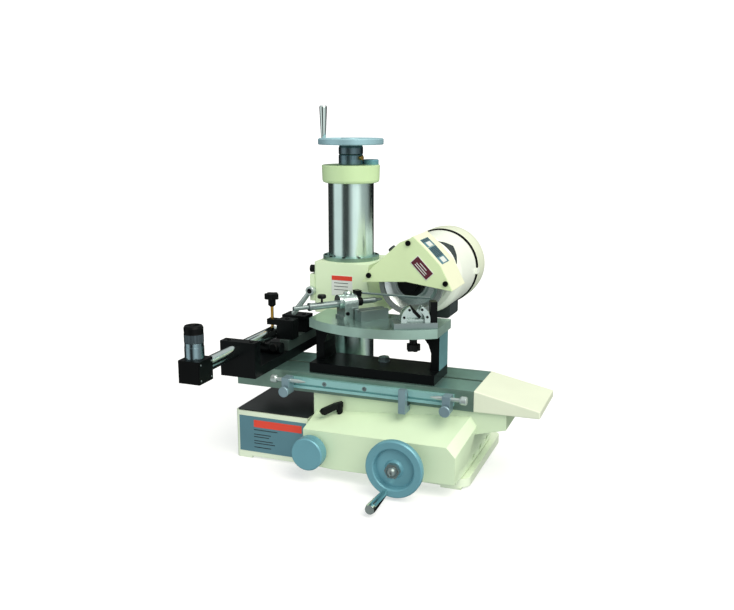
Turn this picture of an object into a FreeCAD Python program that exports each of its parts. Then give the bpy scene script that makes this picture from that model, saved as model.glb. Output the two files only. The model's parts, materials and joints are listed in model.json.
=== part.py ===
import FreeCAD, Part
import math
import os

os.makedirs("parts", exist_ok=True)
V = FreeCAD.Vector
X_AXIS = V(1, 0, 0)
Y_AXIS = V(0, 1, 0)
Z_AXIS = V(0, 0, 1)

# Universal tool and cutter grinder with a drill sharpening fixture and an inspection
# microscope.  Millimetres, +Z up.  The origin is the centre of the base footprint at
# floor level; the operator stands on the -Y side.

# ---- driving dimensions ---------------------------------------------------------
BASE_HALF_X = 231.0        # base footprint 462 x 262
BASE_HALF_Y = 131.0
FOOT_H = 4.0
PLINTH_TOP = 20.0
CABINET_TOP = 94.0         # left-hand cabinet of the base
CABINET_RIGHT = -78.0
WAY_TOP = 72.0             # dovetail way under the saddle
SLIDE_GAP = 0.05           # running clearance of every flat slide

SADDLE_LEFT = -66.0
SADDLE_RIGHT = 219.0
SADDLE_FRONT = -176.0
SADDLE_BLOCK_FRONT = -114.0
SADDLE_BLOCK_REAR = 8.0
SADDLE_TOP = 142.7

TABLE_LEFT = -230.0
TABLE_RIGHT = 234.7
TABLE_FRONT = -119.0
TABLE_REAR = 13.0
TABLE_BOTTOM = 143.0
TABLE_TOP = 180.0
RAIL_SCREWS = (-44.8, 34.0, 112.8)
BRACKET_BOLTS = ((45.0, -53.0),)
FIXTURE_SCREWS = (-83.0, -65.0)

COLUMN_X = -70.0
COLUMN_Y = 68.0
COLUMN_R = 45.0
COLUMN_TOP = 519.0
FIT = 0.05                 # radial clearance of turning and sliding bores

HEAD_FRONT = 2.0
HEAD_BOTTOM = 268.0
HEAD_TOP = 368.0
WHEEL_X = 78.0             # spindle axis, parallel to Y
WHEEL_Z = 340.0
WHEEL_R = 62.5
WHEEL_FACE_Y = -2.0
MOTOR_R = 76.0
GUARD_SCREWS = ((5.5, 354.5), (82.5, 419.0), (154.5, 348.5))

PLATE_X = 37.5             # D-shaped work plate, arc struck from this point
PLATE_ARC_Y = 57.0
PLATE_ARC_R = 199.0
PLATE_HALF_W = 124.0
PLATE_REAR = -13.0
PLATE_BOTTOM = 263.0
PLATE_TOP = 280.0
REST_R = 174.0             # drill steady: radius and angle on the plate's arc
REST_A = math.radians(27.0)

LEVER_X = -17.0            # saddle lock lever pivot
LEVER_Y = -121.0

SCOPE_X = -195.0           # microscope tube axis, parallel to Y
SCOPE_Z = 228.3
SCOPE_R = 12.5
STAR_X = -195.0            # clamp screw above the tube
ARM_TOP = 198.0

KNOB_X = -46.9             # table traverse knob
KNOB_Z = 55.3
GEAR_R = 16.4              # pitch radius of the two traverse gears
IDLER_Z = KNOB_Z + 2 * GEAR_R
RACK_BOTTOM = IDLER_Z + GEAR_R + 1
HANDWHEEL_X = 122.0        # cross-feed handwheel
HANDWHEEL_Z = 57.0
HANDWHEEL_R = 51.5

TUBE_R = 6.5               # drill carrier tube
DRILL_ANGLE = math.radians(50.0)
DRILL_TIP = V(26.0, -12.0, 307.7)
DRILL_DIR = V(math.cos(DRILL_ANGLE), math.sin(DRILL_ANGLE), 0)


# ---- helpers ----------------------------------------------------------------------
def box(x0, x1, y0, y1, z0, z1):
    return Part.makeBox(x1 - x0, y1 - y0, z1 - z0, V(x0, y0, z0))


def rod(start, direction, radius, length):
    return Part.makeCylinder(radius, length, V(*start), V(*direction))


def taper(start, direction, r_start, r_end, length):
    return Part.makeCone(r_start, r_end, length, V(*start), V(*direction))


def outline(points):
    return Part.Face(Part.makePolygon([V(*p) for p in points + points[:1]]))


def prism_xz(points, y0, y1):
    return outline([(x, y0, z) for x, z in points]).extrude(V(0, y1 - y0, 0))


def prism_yz(points, x0, x1):
    return outline([(x0, y, z) for y, z in points]).extrude(V(x1 - x0, 0, 0))


def prism_xy(points, z0, z1):
    return outline([(x, y, z0) for x, y in points]).extrude(V(0, 0, z1 - z0))


def turned(profile, start, direction):
    """Solid of revolution: profile lists (radius, distance along the axis)."""
    face = outline([(r, 0, s) for r, s in profile])
    solid = face.revolve(V(0, 0, 0), Z_AXIS, 360)
    solid.Placement = FreeCAD.Placement(V(*start), FreeCAD.Rotation(Z_AXIS, V(*direction)))
    return solid


def fuse(*shapes):
    return shapes[0].multiFuse(list(shapes[1:])).removeSplitter()


def cut(shape, *tools):
    for tool in tools:
        shape = shape.cut(tool)
    return shape


def hexagon(centre, direction, across_flats, height):
    r = across_flats / math.sqrt(3)
    points = [(r * math.cos(i * math.pi / 3), r * math.sin(i * math.pi / 3), 0) for i in range(6)]
    solid = outline(points).extrude(V(0, 0, height))
    solid.Placement = FreeCAD.Placement(V(*centre), FreeCAD.Rotation(Z_AXIS, V(*direction)))
    return solid


def rounded(shape, radius, keep):
    """Fillet the edges that keep(edge midpoint, edge direction) picks."""
    chosen = []
    for edge in shape.Edges:
        middle = edge.valueAt((edge.FirstParameter + edge.LastParameter) / 2)
        along = edge.tangentAt(edge.FirstParameter)
        if keep(middle, along):
            chosen.append(edge)
    return shape.makeFillet(radius, chosen)


def socket_screw(head_centre, direction, head_r, head_h, shank_r, shank_len):
    """Cap screw with its head's outer face at head_centre and the shank along direction."""
    start = V(*head_centre)
    along = V(*direction)
    head = Part.makeCylinder(head_r, head_h, start, along)
    shank = Part.makeCylinder(shank_r, shank_len, start + along * head_h, along)
    key = hexagon(start, direction, head_r, head_h * 0.6)
    return cut(fuse(head, shank), key)


def star_outline(radius, lobes, depth):
    points = []
    for i in range(lobes * 6):
        a = 2 * math.pi * i / (lobes * 6)
        r = radius - depth * 0.5 * (1 - math.cos(lobes * a))
        points.append((r * math.cos(a), r * math.sin(a)))
    return points


def toothed(radius, teeth, tooth_h, start, direction, width):
    """Spur gear blank with straight-sided teeth around it."""
    points = []
    for i in range(teeth):
        for part, r in ((0.0, radius - tooth_h), (0.25, radius), (0.5, radius), (0.75, radius - tooth_h)):
            a = 2 * math.pi * (i + part) / teeth
            points.append((r * math.cos(a), r * math.sin(a), 0))
    gear = outline(points).extrude(V(0, 0, width))
    gear.Placement = FreeCAD.Placement(V(*start), FreeCAD.Rotation(Z_AXIS, V(*direction)))
    return gear


def save(name, *shapes):
    solids = [solid for shape in shapes for solid in shape.Solids]
    result = solids[0] if len(solids) == 1 else Part.makeCompound(solids)
    result.exportStep("parts/" + name + ".step")
    print(name, len(solids), round(result.Volume), result.isValid())


# ---- base -------------------------------------------------------------------------
def way_profile(grow):
    """Dovetail way section across X, widened by grow for the saddle's cavity."""
    return [
        (50 - grow, PLINTH_TOP),
        (160 + grow, PLINTH_TOP),
        (160 + grow, 46),
        (174 + grow, WAY_TOP + grow),
        (36 - grow, WAY_TOP + grow),
        (50 - grow, 46),
    ]


def make_base():
    hx, hy = BASE_HALF_X, BASE_HALF_Y
    plinth = box(-hx, hx, -hy, hy, FOOT_H, PLINTH_TOP)
    plinth = rounded(plinth, 22, lambda m, d: abs(d.z) > 0.9 and m.x > 0)
    feet = []
    for x0, x1 in ((-hx, -hx + 34), (hx - 50, hx - 12)):
        for y0, y1 in ((-hy, -hy + 60), (hy - 26, hy)):
            feet.append(box(x0, x1, y0, y1, 0, FOOT_H))
    feet.append(box(-40, 40, -30, 30, 0, FOOT_H))
    bolt_holes = [rod((x, y, -1), Z_AXIS, 5, PLINTH_TOP + 2) for x in (-214, 200) for y in (-110, 118)]
    cabinet = box(-hx, CABINET_RIGHT, -hy, hy, PLINTH_TOP, CABINET_TOP)
    socket = box(CABINET_RIGHT, -12, 16, hy, PLINTH_TOP, CABINET_TOP)
    body = fuse(plinth, cabinet, socket, prism_xz(way_profile(0), -hy, hy), *feet)
    body = rounded(body, 9, lambda m, d: abs(d.z) > 0.9 and m.x < -hx + 1 and abs(m.y) > hy - 1)
    hollow = box(-hx + 6, -126, -hy + 6, hy - 6, 12, CABINET_TOP)
    hollow_front = box(-126, CABINET_RIGHT - 6, -hy + 6, 8, 12, CABINET_TOP)
    column_bore = rod((COLUMN_X, COLUMN_Y, 34), Z_AXIS, COLUMN_R, CABINET_TOP)
    screw_channel = box(HANDWHEEL_X - 14, HANDWHEEL_X + 14, -hy, hy, 44, WAY_TOP + 1)
    body = cut(body, hollow, hollow_front, column_bore, screw_channel, *bolt_holes)
    nut = box(HANDWHEEL_X - 14, HANDWHEEL_X + 14, -40, -10, 44, WAY_TOP)
    nut = cut(nut, rod((HANDWHEEL_X, -41, HANDWHEEL_Z), Y_AXIS, 7 + FIT, 32))
    save("base_casting", fuse(body, nut))
    cover = box(-hx + 3, CABINET_RIGHT - 0.5, -hy + 3, hy - 3, CABINET_TOP, CABINET_TOP + 2)
    cover = cut(cover, rod((COLUMN_X, COLUMN_Y, CABINET_TOP), Z_AXIS, COLUMN_R, 3))
    cover = rounded(cover, 6, lambda m, d: abs(d.z) > 0.9 and m.x < -hx + 5)
    save("base_cover", cover)


def make_column():
    tube = rod((COLUMN_X, COLUMN_Y, 34), Z_AXIS, COLUMN_R, COLUMN_TOP - 34)
    bore = rod((COLUMN_X, COLUMN_Y, 60), Z_AXIS, 35, COLUMN_TOP)
    key_slot = box(COLUMN_X - 8, COLUMN_X + 8, COLUMN_Y + 20, COLUMN_Y + 60, 240, 500)
    save("column", cut(tube, bore, key_slot))

    profile = [(0, 0), (51, 0), (54.5, 1.5), (56, 5), (57, 33), (55.5, 34), (0, 34)]
    cap = turned(profile, (COLUMN_X, COLUMN_Y, COLUMN_TOP), Z_AXIS)
    cap = cut(cap, rod((COLUMN_X, COLUMN_Y, COLUMN_TOP - 1), Z_AXIS, 10 + FIT, 40))
    save("column_cap", cap)


# ---- saddle -----------------------------------------------------------------------
def make_saddle():
    front = [(SADDLE_LEFT, 26), (-10, 22), (219, 27), (219, 76), (203, 93), (SADDLE_LEFT, 92)]
    rear = [(SADDLE_LEFT, 26), (-10, 22), (219, 22), (240, 116), (229, 133), (SADDLE_LEFT, 108)]
    y_front, y_rear = SADDLE_FRONT, SADDLE_BLOCK_FRONT
    wires = []
    for y, points in ((y_front, front), (y_rear, rear)):
        wires.append(Part.makePolygon([V(x, y, z) for x, z in points + points[:1]]))
    housing = Part.makeLoft(wires, True, True)
    side = [(-5, 22), (219, 22), (240, 116), (-5, 116)]
    body = prism_xz(side, y_rear, 85)
    left_wall = box(SADDLE_LEFT, -5, y_rear, SADDLE_BLOCK_REAR, 24, 100)
    block = [(-72, 100), (236, 100), (291.6, 115), (291.6, SADDLE_TOP), (-72, SADDLE_TOP)]
    upper = prism_xz(block, y_rear, SADDLE_BLOCK_REAR)
    dovetail = [(-82, SADDLE_TOP - 1), (-24, SADDLE_TOP - 1), (-24, SADDLE_TOP),
                (-18, 154), (-88, 154), (-82, SADDLE_TOP)]
    top_way = prism_yz(dovetail, -72, 291.6)
    saddle = fuse(housing, body, left_wall, upper, top_way)
    cavity = prism_xz(way_profile(SLIDE_GAP), -139, 86)
    saddle = cut(saddle, cavity, box(-6, 225, 10, 86, 105, 117))
    rim = SADDLE_RIGHT
    pocket = [(rim - 6, 34), (rim + 30, 34), (rim + 30, 52), (rim - 6, 40)]
    pockets = []
    gib_spots = []
    for y in (-60, -10, 40):
        pockets.append(prism_xz(pocket, y - 9, y + 9))
        gib_spots.append((rim - 6, y, 37))
    saddle = cut(saddle, *pockets)
    saddle = cut(saddle, *[rod((x - 30, y, z), X_AXIS, 2.5, 31) for x, y, z in gib_spots])
    drive_bore = rod((HANDWHEEL_X, -180, HANDWHEEL_Z), Y_AXIS, 7 + FIT, 60)
    knob_bore = rod((KNOB_X, -180, KNOB_Z), Y_AXIS, 6 + FIT, 75)
    gear_pocket = fuse(*[rod((KNOB_X, -106, z), Y_AXIS, GEAR_R + 1, 16) for z in (KNOB_Z, IDLER_Z)])
    rack_slot = box(-73, 10, -106, -90, RACK_BOTTOM - 2, SADDLE_TOP + 1)
    idler_bore = rod((KNOB_X, -91, IDLER_Z), Y_AXIS, 4 + FIT, 16)
    knob_seat = rod((KNOB_X, -91, KNOB_Z), Y_AXIS, 6 + FIT, 12)
    saddle = cut(saddle, drive_bore, knob_bore, gear_pocket, rack_slot, idler_bore, knob_seat)
    stop_seat = box(104, 117, SADDLE_BLOCK_FRONT - 20, SADDLE_BLOCK_FRONT + 4, 131, 142)
    lever_bore = rod((LEVER_X, LEVER_Y, 60), Z_AXIS, 4 + FIT, 60)
    saddle = cut(saddle, stop_seat, lever_bore)
    save("saddle", saddle)

    screws = [rod((x - 30, y, z), X_AXIS, 2.5, 36.5) for x, y, z in gib_spots]
    slotted = [cut(s, box(rim - 0.7, rim + 2, y - 3, y + 3, z - 0.5, z + 0.5))
               for s, (x, y, z) in zip(screws, gib_spots)]
    post = box(104, 117, -142, -130, 131, 175)
    neck = box(104, 117, -130, SADDLE_BLOCK_FRONT + 4, 131, 142)
    save("saddle_fittings", fuse(post, neck), *slotted)


def make_cross_feed():
    x, z = HANDWHEEL_X, HANDWHEEL_Z
    rim = HANDWHEEL_R
    profile = [(7, -6), (14, -6), (17, -1), (rim - 17, 2), (rim - 15, -5), (rim - 13, -7), (rim - 2, -7),
               (rim, -4), (rim, 4), (rim - 2, 7), (rim - 13, 7), (rim - 16, 9), (16, 9), (16, 16), (7, 16)]
    wheel = turned(profile, (x, -211, z), Y_AXIS)
    handle_x, handle_z = x - 14, z - 42
    pin = rod((handle_x, -224, handle_z), Y_AXIS, 3, 8)
    save("front_handwheel", fuse(wheel, pin))

    dial = turned([(6, 0), (19, 0), (20, 1), (21, 15), (6, 15)], (x, -194.5, z), Y_AXIS)
    shaft = rod((x, -217, z), Y_AXIS, 7, 262)
    dome = Part.makeSphere(9.5, V(x, -225, z)).common(rod((x, -240, z), Y_AXIS, 10, 15))
    save("cross_feed_screw", fuse(shaft, dial, hexagon((x, -225, z), Y_AXIS, 24, 8), dome))

    grip = [(3 + FIT, 0), (5, 0), (6, 8), (8, 44), (9, 68), (8, 75), (0, 75), (0, 7), (3 + FIT, 7)]
    save("front_handle", turned(grip, (handle_x, -218.3, handle_z), -Y_AXIS))


def make_table_drive():
    x, z = KNOB_X, KNOB_Z
    profile = [(0, 0), (28, 0), (30, 2), (30, 22), (28.5, 24.5), (20, 24.5), (20, 29), (0, 29)]
    knob = turned(profile, (x, -205.3, z), Y_AXIS)
    pinion = toothed(GEAR_R - 0.2, 26, 2, (x, -104, z), Y_AXIS, 12)
    save("table_knob", fuse(knob, rod((x, -177, z), Y_AXIS, 6, 96), pinion))
    idler = toothed(GEAR_R - 0.2, 26, 2, (x, -104, IDLER_Z), Y_AXIS, 12)
    save("idler_gear", fuse(idler, rod((x, -92, IDLER_Z), Y_AXIS, 4, 14)))


def make_lock_lever():
    post = rod((LEVER_X, LEVER_Y, 80), Z_AXIS, 4, 44)
    hub = rod((LEVER_X, LEVER_Y, 113), Z_AXIS, 6, 14)
    side = [(-5.5, 132), (-5.5, 122), (8, 119), (30, 111.5), (36, 113), (38.5, 118), (34, 123), (10, 130)]
    bar = prism_xz(side, -4, 4)
    bar.Placement = FreeCAD.Placement(V(LEVER_X, LEVER_Y, 0), FreeCAD.Rotation(Z_AXIS, 225))
    save("saddle_lock_lever", fuse(post, hub, bar))


# ---- table ------------------------------------------------------------------------
def make_table():
    table = box(TABLE_LEFT, TABLE_RIGHT, TABLE_FRONT, TABLE_REAR, TABLE_BOTTOM, TABLE_TOP)
    g = SLIDE_GAP
    groove = [(-82 - g, 142), (-24 + g, 142), (-24 + g, SADDLE_TOP), (-18 + g, 154 + g),
              (-88 - g, 154 + g), (-82 - g, SADDLE_TOP)]
    slot = box(TABLE_LEFT, TABLE_RIGHT, -57, -49, 168, TABLE_TOP)
    slot_foot = box(TABLE_LEFT, TABLE_RIGHT, -60.5, -45.5, 163, 168)
    table = cut(table, prism_yz(groove, TABLE_LEFT - 1, TABLE_RIGHT + 1), slot, slot_foot)
    rail_holes = [rod((x, TABLE_FRONT - 8, 164), Y_AXIS, 2.5, 20) for x in RAIL_SCREWS]
    table = cut(table, *rail_holes)
    rack = box(-76, -18, -104, -92, RACK_BOTTOM, TABLE_BOTTOM)
    notches = [box(x, x + 2, -105, -91, RACK_BOTTOM - 1, RACK_BOTTOM + 2) for x in range(-74, -20, 4)]
    save("table", fuse(table, cut(rack, *notches)))

    wedge = [(TABLE_RIGHT, 142.8), (350, 144), (350, 157), (TABLE_RIGHT, 181)]
    cover = prism_xz(wedge, TABLE_FRONT - 0.5, TABLE_REAR + 0.5)
    inside = [(TABLE_RIGHT, 142), (346, 142), (346, 154), (TABLE_RIGHT, 177)]
    cover = rounded(cover, 2, lambda m, d: m.x > TABLE_RIGHT + 1)
    cover = cut(cover, prism_xz(inside, TABLE_FRONT + 3, TABLE_REAR - 3))
    save("table_end_cover", cover)

    rail = box(-122, 200, TABLE_FRONT - 8, TABLE_FRONT, 151, 171)
    groove = box(-123, 201, TABLE_FRONT - 9, TABLE_FRONT - 3, 156, 160)
    rail = cut(rail, groove, *rail_holes)
    rail = cut(rail, *[rod((x, TABLE_FRONT - 8, 164), Y_AXIS, 4.5, 4) for x in RAIL_SCREWS])
    save("dog_rail", rail)
    screws = [socket_screw((x, TABLE_FRONT - 8, 164), Y_AXIS, 4.5, 4, 2.5, 16) for x in RAIL_SCREWS]
    save("table_fasteners", *screws, *bracket_nuts(), *fixture_screws())


def make_dog(prefix, x, side, knob_reach, tip_reach):
    """Stop dog on the rail; side is +1 when its stop screw points to +X."""
    y_back = TABLE_FRONT - 8.3
    block = box(x - 7, x + 7, y_back - 22, y_back, 144, 174.5)
    tongue = box(x - 7, x + 7, y_back, TABLE_FRONT - 3.5, 156.4, 159.1)
    screw_y = y_back - 13
    screw_z = 168.5
    clamp_z = 150.0
    block = fuse(block, tongue)
    block = cut(block, rod((x - 8, screw_y, screw_z), X_AXIS, 3.5 + FIT, 16))
    block = cut(block, rod((x, y_back - 23, clamp_z), Y_AXIS, 2.5 + FIT, 24))
    save(prefix + "_dog", block)
    back = V(x - side * knob_reach, screw_y, screw_z)
    along = X_AXIS * side
    knob = turned([(0, 0), (6.5, 0), (7.5, 1), (7.5, 9), (6, 12), (0, 12)], back, along)
    shank = rod(back + along * 12, along, 3.5, knob_reach + tip_reach - 26)
    nose = taper(back + along * (knob_reach + tip_reach - 14), along, 3.5, 1.0, 14)
    save(prefix + "_stop_screw", fuse(knob, shank, nose))
    disc = turned([(0, 0), (9, 0), (10, 1), (10, 5), (9, 6), (0, 6)], (x, y_back - 31, clamp_z), Y_AXIS)
    save(prefix + "_clamp_screw", fuse(disc, rod((x, y_back - 25, clamp_z), Y_AXIS, 2.5, 24.5)))


# ---- work plate and fixtures ------------------------------------------------------
def bracket_nuts():
    """T-bolts in the table slot with washer and nut."""
    nuts = []
    for x, y in BRACKET_BOLTS:
        washer = rod((x, y, 198), Z_AXIS, 11, 2)
        stud = rod((x, y, 167), Z_AXIS, 3.5, 42)
        head = box(x - 6, x + 6, y - 6, y + 6, 163.2, 167.8)
        nuts.append(fuse(washer, hexagon((x, y, 200), Z_AXIS, 18, 7), stud, head))
    return nuts


def make_plate():
    foot = box(-81, 160.5, -112, -28, TABLE_TOP, 198)
    legs = []
    for inner, outer in ((-63, -81), (142.5, 160.5)):
        flare = -1 if outer > inner else 1
        x_in = inner
        points = [(outer, 198), (x_in, 198), (x_in - flare * 2, 215), (x_in - flare * 2, 230),
                  (x_in + flare * 3, 245), (x_in + flare * 12, 257), (x_in + flare * 16, PLATE_BOTTOM),
                  (outer, PLATE_BOTTOM)]
        legs.append(prism_xz(points, -81, -28))
    bracket = fuse(foot, *legs)
    bracket = cut(bracket, *[rod((x, y, 175), Z_AXIS, 3.5, 30) for x, y in BRACKET_BOLTS])
    save("plate_bracket", bracket)

    arc_x = PLATE_HALF_W
    drop = math.sqrt(PLATE_ARC_R ** 2 - arc_x ** 2)
    left = V(PLATE_X - arc_x, PLATE_ARC_Y - drop, PLATE_BOTTOM)
    right = V(PLATE_X + arc_x, PLATE_ARC_Y - drop, PLATE_BOTTOM)
    front = V(PLATE_X, PLATE_ARC_Y - PLATE_ARC_R, PLATE_BOTTOM)
    rear_right = V(right.x, PLATE_REAR, PLATE_BOTTOM)
    rear_left = V(left.x, PLATE_REAR, PLATE_BOTTOM)
    edges = [
        Part.Arc(left, front, right).toShape(),
        Part.LineSegment(right, rear_right).toShape(),
        Part.LineSegment(rear_right, rear_left).toShape(),
        Part.LineSegment(rear_left, left).toShape(),
    ]
    plate = Part.Face(Part.Wire(edges)).extrude(V(0, 0, PLATE_TOP - PLATE_BOTTOM))
    plate = cut(plate, arc_slot(11, 8.0))
    save("work_plate", plate)


def arc_slot(reach, width):
    """Curved slot for the steady's clamp screw, struck from the plate's arc centre."""
    r = REST_R
    outer = rod((PLATE_X, PLATE_ARC_Y, PLATE_BOTTOM - 1), Z_AXIS, r + width / 2, 20)
    inner = rod((PLATE_X, PLATE_ARC_Y, PLATE_BOTTOM - 1), Z_AXIS, r - width / 2, 20)
    ring = outer.cut(inner)
    a0 = REST_A - math.radians(reach)
    a1 = REST_A + math.radians(reach)
    points = [(PLATE_X, PLATE_ARC_Y)]
    for a in (a0, REST_A, a1):
        points.append((PLATE_X + 300 * math.sin(a), PLATE_ARC_Y - 300 * math.cos(a)))
    return ring.common(prism_xy(points, PLATE_BOTTOM - 1, PLATE_TOP + 1))


def place_at_rest(shape):
    """Turn a piece drawn about the origin, -Y outward, onto the arc at the steady."""
    x = PLATE_X + REST_R * math.sin(REST_A)
    y = PLATE_ARC_Y - REST_R * math.cos(REST_A)
    shape.Placement = FreeCAD.Placement(V(x, y, PLATE_TOP), FreeCAD.Rotation(Z_AXIS, math.degrees(REST_A)))
    return shape


def make_steady():
    block = fuse(box(-37, 41, -16, 14, 0, 10), rod((0, 0, -34), Z_AXIS, 3, 36))
    save("steady_base", place_at_rest(block))
    upper = box(-60, 60, -20, 20, 16, 60)
    rear = fuse(rod((2, 3, 16), Y_AXIS, 26, 7).common(upper), box(-24, 28, 3, 10, 10, 16))
    rear = cut(rear, prism_xz([(-14, 46), (2, 24), (18, 46)], 2, 11))
    jaws = fuse(rod((2, -13, 16), Y_AXIS, 26, 7).common(upper), box(-24, 28, -13, -6, 10, 16))
    window = fuse(rod((2, -14, 16), Y_AXIS, 16, 9), box(-14, 18, -14, -5, 9, 16))
    jaws = cut(jaws, window, prism_xz([(-12, 46), (2, 20), (16, 46)], -14, -5))
    spacer = box(-20, 24, -6, 3, 10, 15)
    left_web = box(-20, -14, -13, 3, 10, 15)
    right_web = box(18, 24, -13, 3, 10, 15)
    blade = prism_xz([(-10, 36), (-6, 40), (13, 20), (9, 16)], -6, 3)
    pins = []
    for degrees in (12, 58, 122, 168):
        a = math.radians(degrees)
        pins.append(rod((2 + 21 * math.cos(a), -14.5, 16 + 21 * math.sin(a)), Y_AXIS, 2.2, 6))
    arch = cut(fuse(rear, jaws, spacer, left_web, right_web), *pins)
    save("steady_arch", place_at_rest(arch))
    post = box(28.5, 40.5, -12, 6, 10, 47)
    save("steady_post", *[place_at_rest(piece) for piece in [post, blade] + pins])
    knob = prism_xy(star_outline(13, 5, 4), -43, -31)
    collar = rod((0, 0, -31.5), Z_AXIS, 7, 14.2)
    knob = cut(fuse(knob, collar), rod((0, 0, -35), Z_AXIS, 3 + FIT, 22))
    save("steady_knob", place_at_rest(knob))


def in_tube_frame(shape):
    """Move a piece drawn with +X along the drill from the tip's foot point."""
    foot = V(DRILL_TIP.x, DRILL_TIP.y, PLATE_TOP)
    shape.Placement = FreeCAD.Placement(foot, FreeCAD.Rotation(Z_AXIS, math.degrees(DRILL_ANGLE)))
    return shape


def fixture_screws():
    screws = []
    for x in FIXTURE_SCREWS:
        screws.append(in_tube_frame(socket_screw((x, -19, 11), Y_AXIS, 3.4, 2, 2.4, 9)))
    return screws


def make_drill_fixture():
    axis_h = DRILL_TIP.z - PLATE_TOP
    base = box(-91, -57, -17, 17, 0, 5)
    left_foot, left_top = V(-88, -17, 4), V(-88, -17, axis_h)
    right_foot, right_top = V(-88, 17, 4), V(-88, 17, axis_h)
    edges = [
        Part.LineSegment(left_foot, right_foot).toShape(),
        Part.LineSegment(right_foot, right_top).toShape(),
        Part.Arc(right_top, V(-88, 0, axis_h + 17), left_top).toShape(),
        Part.LineSegment(left_top, left_foot).toShape(),
    ]
    arch = Part.Face(Part.Wire(edges)).extrude(V(28, 0, 0))
    scale = rod((-95, 0, axis_h + 4), X_AXIS, 13, 8)
    cap = turned([(0, 0), (8, 0), (8, 4), (6, 7), (0, 8)], (-74, 0, axis_h + 15), Z_AXIS)
    holder = fuse(base, arch, scale, cap)
    holder = cut(holder, rod((-104, 0, axis_h), X_AXIS, TUBE_R + FIT, 60))
    holder = cut(holder, *[rod((x, -17.5, 11), Y_AXIS, 2.5, 11) for x in FIXTURE_SCREWS])
    save("fixture_bracket", in_tube_frame(holder))

    guide = cut(box(-70, -13, -46, -20, 0, 19), box(-71, -12, -36, -30, 14, 20))
    save("guide_block", in_tube_frame(guide))

    tube = rod((-150, 0, axis_h), X_AXIS, TUBE_R, 95)
    sleeve = rod((-55, 0, axis_h), X_AXIS, 5.4, 38)
    tip = taper((-17, 0, axis_h), X_AXIS, 5.4, 3, 6)
    collar = rod((-154, 0, axis_h), X_AXIS, 7.6, 4)
    tail = rod((-184, 0, axis_h), X_AXIS, 4, 30)
    tube = fuse(tube, sleeve, tip, collar, tail)
    bore = rod((-190, 0, axis_h), X_AXIS, 2.5, 200)
    thumb_bore = rod((-127, 0, axis_h + 3.5), Z_AXIS, 2 + FIT, 10)
    save("drill_tube", in_tube_frame(cut(tube, bore, thumb_bore)))

    drill = fuse(rod((-184, 0, axis_h), X_AXIS, 2.5, 179), taper((-5, 0, axis_h), X_AXIS, 2.5, 0.8, 5))
    save("drill", in_tube_frame(drill))
    stem = rod((-127, 0, axis_h + 4), Z_AXIS, 2, 9.6)
    thumb = turned([(0, 0), (6.5, 0), (8, 1.5), (8, 5), (6.5, 7), (0, 7)], (-127, 0, axis_h + 13.5), Z_AXIS)
    save("tube_thumbscrew", in_tube_frame(fuse(stem, thumb)))

    start = V(DRILL_TIP.x, DRILL_TIP.y, PLATE_TOP + 45) - DRILL_DIR * 54
    clamp = in_tube_frame(box(-60, -49, -8, 6, 38, 50))
    save("stop_bar", fuse(clamp, Part.makeCylinder(2, 142, start, X_AXIS)))


# ---- grinding head ----------------------------------------------------------------
def guard_outline():
    points = [(-9, 341), (8, 366), (66, 419.5), (82, 425), (90.5, 431.5), (115, 410),
              (143.5, 380.5), (167, 335), (79, 347)]
    return points


def make_head():
    cx, cy = COLUMN_X, COLUMN_Y
    body = box(-122, 13, HEAD_FRONT, 130, HEAD_BOTTOM, HEAD_TOP)
    body = rounded(body, 5, lambda m, d: abs(d.z) > 0.9 and m.x < 0)
    lug = box(-131, -121, HEAD_FRONT, 60, 290, 343)
    arm = box(12, 40, 62, 130, HEAD_BOTTOM + 6, HEAD_TOP)
    motor_hole = rod((WHEEL_X, 50, WHEEL_Z), Y_AXIS, MOTOR_R, 120)
    guard_space = rod((WHEEL_X, -40, WHEEL_Z), Y_AXIS, WHEEL_R + 26, 100)
    body = fuse(body, lug, arm)
    body = cut(body, motor_hole, guard_space)
    body = cut(body, rod((cx, cy, 200), Z_AXIS, COLUMN_R + FIT, 300))
    slit = box(-135, -100, 33, 36, HEAD_BOTTOM - 1, HEAD_TOP + 1)
    clamp_bore = rod((-127, 0, 311), Y_AXIS, 4 + FIT, 70)
    body = cut(body, slit, clamp_bore)
    knob_bore = rod((-123, 11, 353), X_AXIS, 3 + FIT, 10)
    key_bore = box(cx - 8, cx + 8, cy + 40, cy + 56, 300, 340)
    body = cut(body, knob_bore, key_bore)
    solids = sorted(body.Solids, key=lambda s: s.Volume)
    save("head_casting", solids[-1])

    ring = rod((cx, cy, HEAD_TOP), Z_AXIS, 56, 7.5)
    ring = cut(ring, rod((cx, cy, HEAD_TOP), Z_AXIS, COLUMN_R + FIT, 11))
    spots = []
    for degrees in (205, 240, 275, 310, 25, 90, 155):
        a = math.radians(degrees)
        spots.append((cx + 50.5 * math.cos(a), cy + 50.5 * math.sin(a)))
    ring = cut(ring, *[rod((x, y, HEAD_TOP), Z_AXIS, 3, 11) for x, y in spots])
    save("head_ring", ring)
    screws = [socket_screw((x, y, HEAD_TOP + 9.5), -Z_AXIS, 3, 4, 2.5, 5.5) for x, y in spots]
    screws += [socket_screw((a, -33, b), Y_AXIS, 5, 3, 2.5, 14) for a, b in GUARD_SCREWS]
    save("head_fasteners", *screws)

    nut = rod((cx, cy, 300), Z_AXIS, 34, 40)
    key = box(cx - 7.7, cx + 7.7, cy + 20, cy + 56, 300, 340)
    nut = cut(fuse(nut, key), rod((cx, cy, 299), Z_AXIS, 10 + FIT, 42))
    save("elevating_nut", nut)


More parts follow.
